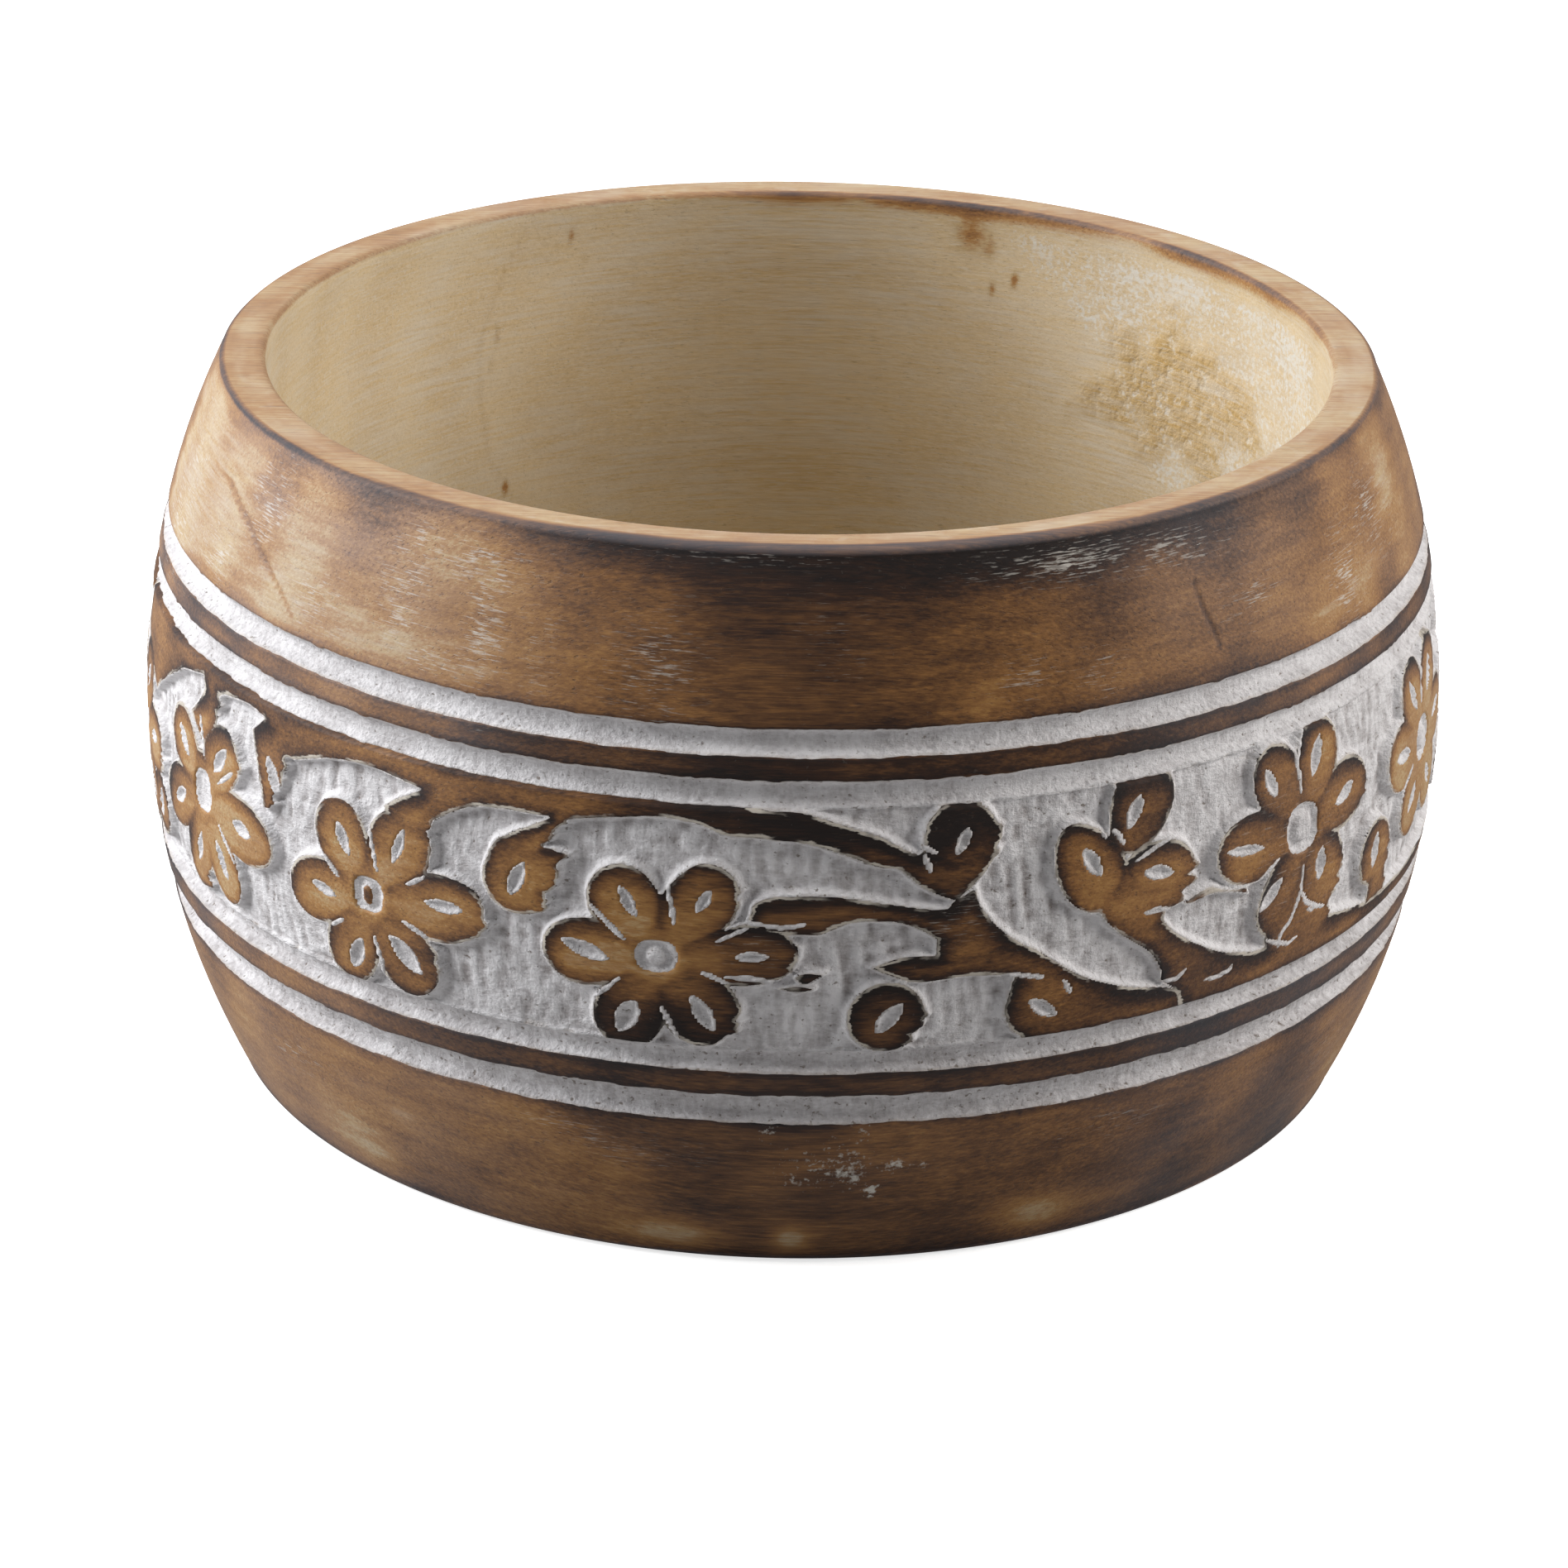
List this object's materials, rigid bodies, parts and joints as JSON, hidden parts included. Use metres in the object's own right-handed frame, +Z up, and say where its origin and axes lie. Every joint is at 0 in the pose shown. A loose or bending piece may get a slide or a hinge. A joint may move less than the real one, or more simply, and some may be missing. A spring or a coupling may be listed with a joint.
{
  "type": "carved wooden bangle",
  "caption": "Wide barrel-shaped wooden bangle with a straight bore, turned grooves and a carved floral band picked out in white wash.",
  "frame": {"origin": "centre of the base, on the surface that the ring stands on", "axes": "+Z up along the bore's axis, -Y towards the carved leaf spray at the front, +X to its right"},
  "size_m": [0.0826, 0.0826, 0.0454],
  "materials": {
    "wood": "fine-turned light hardwood, torched brown to black near the edges, matt wax",
    "wash": "chalky white filler wash, matt, greyed in the hollows"
  },
  "bodies": {
    "root": {"wooden_ring": "wood", "top_groove_wash": "wash", "upper_groove_wash": "wash", "ground_wash": "wash", "lower_groove_wash": "wash", "bottom_groove_wash": "wash", "flower_eye_wash": "wash", "petal_cut_wash": "wash"}
  },
  "joints": []
}
